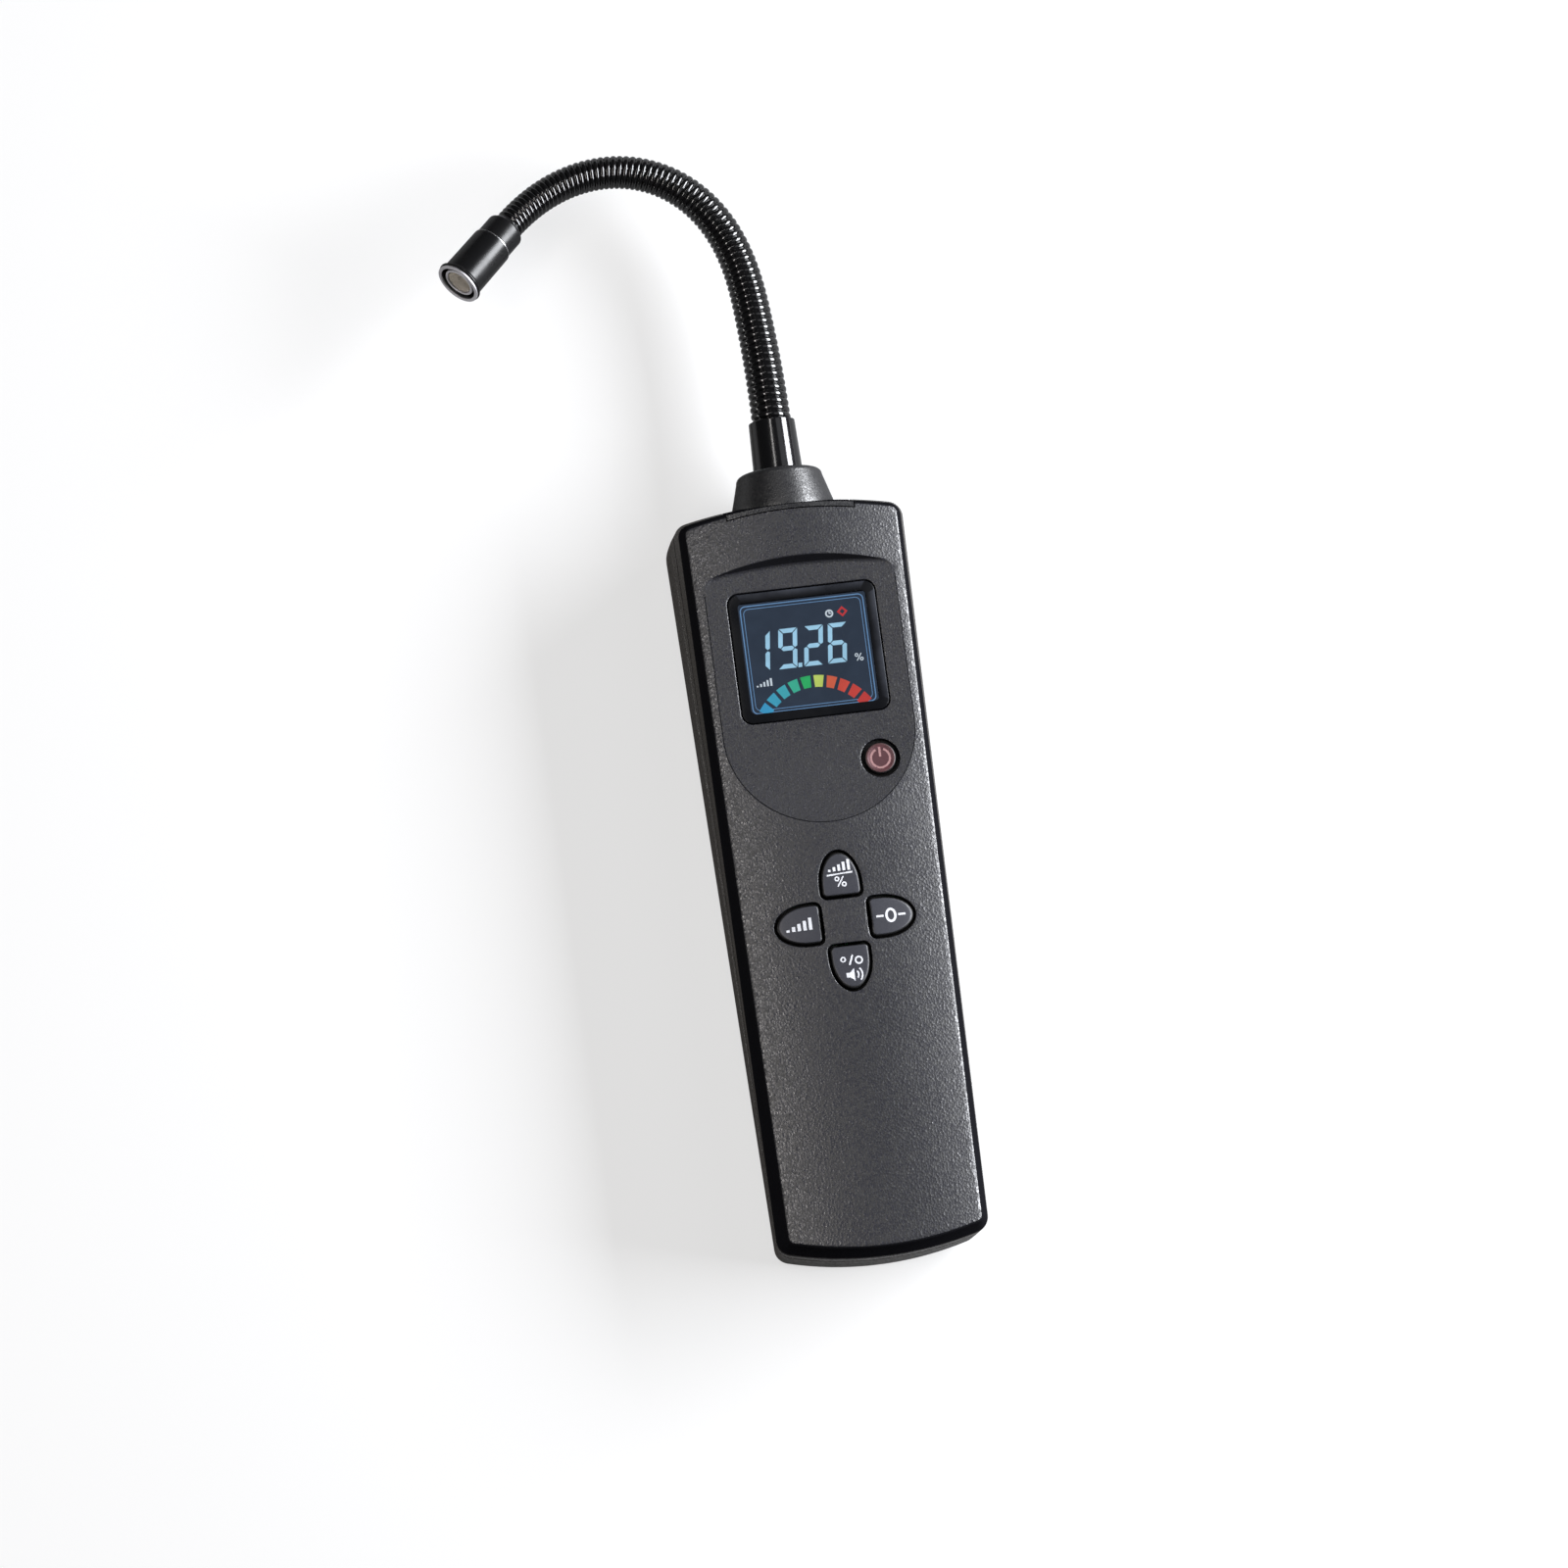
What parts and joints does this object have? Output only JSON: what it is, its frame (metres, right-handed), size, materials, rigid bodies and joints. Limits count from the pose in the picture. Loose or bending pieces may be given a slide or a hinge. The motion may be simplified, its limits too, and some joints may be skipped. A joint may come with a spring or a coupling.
{
  "type": "gas leak detector",
  "caption": "Handheld refrigerant leak detector: slim housing with display, key cross and power button, ridged gooseneck probe with screened sensor tip",
  "frame": {"origin": "middle of the flat back that the instrument lies on", "axes": "+Z out of the display face, +Y along the housing towards the gooseneck, +X to the right of someone reading the display"},
  "size_m": [0.1131, 0.296, 0.0368],
  "materials": {
    "front_plastic": "spark-eroded moulded plastic, warm charcoal",
    "rear_plastic": "fine-grained moulded plastic, dark grey",
    "collar_plastic": "smooth matte moulded plastic, dark grey",
    "door_plastic": "fine-grained moulded plastic, dark grey",
    "black_metal": "glossy black coated metal",
    "key_rubber": "smooth moulded silicone rubber, blue-grey",
    "power_rubber": "smooth moulded silicone rubber, brown-red",
    "mat_rubber": "matte black rubber",
    "lens": "clear hard-coated plastic over a black border",
    "panel": "display glass, dark slate blue",
    "board": "green solder mask",
    "steel": "zinc-plated steel",
    "bright_metal": "bright nickel plate",
    "mesh_metal": "sintered metal gauze, beige-grey",
    "cell_wrap": "printed-film cell wrap, plain dark",
    "cable_sheath": "black plastic",
    "connector_plastic": "natural nylon"
  },
  "bodies": {
    "housing": {"front_cover": "front_plastic", "rear_cover": "rear_plastic", "neck_mount": "collar_plastic", "display_lens": "lens", "display_panel": "panel", "main_board": "board", "keypad_mat": "mat_rubber", "buzzer": "cable_sheath", "board_connector": "connector_plastic", "housing_screw_top_left": "steel", "housing_screw_top_right": "steel", "housing_screw_bottom_left": "steel", "housing_screw_bottom_right": "steel", "board_screw_top_left": "steel", "board_screw_top_right": "steel", "board_screw_bottom_left": "steel", "board_screw_bottom_right": "steel", "battery_cell_1": "cell_wrap", "battery_cell_2": "cell_wrap", "battery_cell_3": "cell_wrap", "contact_plate_top_single": "bright_metal", "contact_plate_top_double": "bright_metal", "contact_plate_bottom_single": "bright_metal", "contact_plate_bottom_double": "bright_metal", "base_ferrule": "black_metal", "neck_nut": "steel", "gooseneck": "black_metal", "sensor_cable": "cable_sheath", "head_ferrule": "black_metal", "sensor_cap": "black_metal", "cap_ring": "bright_metal", "sensor_socket": "mat_rubber", "sensor_can": "bright_metal", "sensor_mesh": "mesh_metal"},
    "key_top": {"key_top": "key_rubber"},
    "key_left": {"key_left": "key_rubber"},
    "key_right": {"key_right": "key_rubber"},
    "key_bottom": {"key_bottom": "key_rubber"},
    "power_button": {"power_button": "power_rubber"},
    "battery_door": {"battery_door": "door_plastic"}
  },
  "joints": [
    {"name": "key_top_press", "type": "slide", "parent": "housing", "child": "key_top", "axis": [0, 0, -1], "range_m": [0, 0.0008], "stiffness_N_per_m": 1200},
    {"name": "key_left_press", "type": "slide", "parent": "housing", "child": "key_left", "axis": [0, 0, -1], "range_m": [0, 0.0008], "stiffness_N_per_m": 1200},
    {"name": "key_right_press", "type": "slide", "parent": "housing", "child": "key_right", "axis": [0, 0, -1], "range_m": [0, 0.0008], "stiffness_N_per_m": 1200},
    {"name": "key_bottom_press", "type": "slide", "parent": "housing", "child": "key_bottom", "axis": [0, 0, -1], "range_m": [0, 0.0008], "stiffness_N_per_m": 1200},
    {"name": "power_button_press", "type": "slide", "parent": "housing", "child": "power_button", "axis": [0, 0, -1], "range_m": [0, 0.0008], "stiffness_N_per_m": 1200},
    {"name": "battery_door_slide", "type": "slide", "parent": "housing", "child": "battery_door", "axis": [0, -1, 0], "range_m": [0, 0.06]}
  ]
}
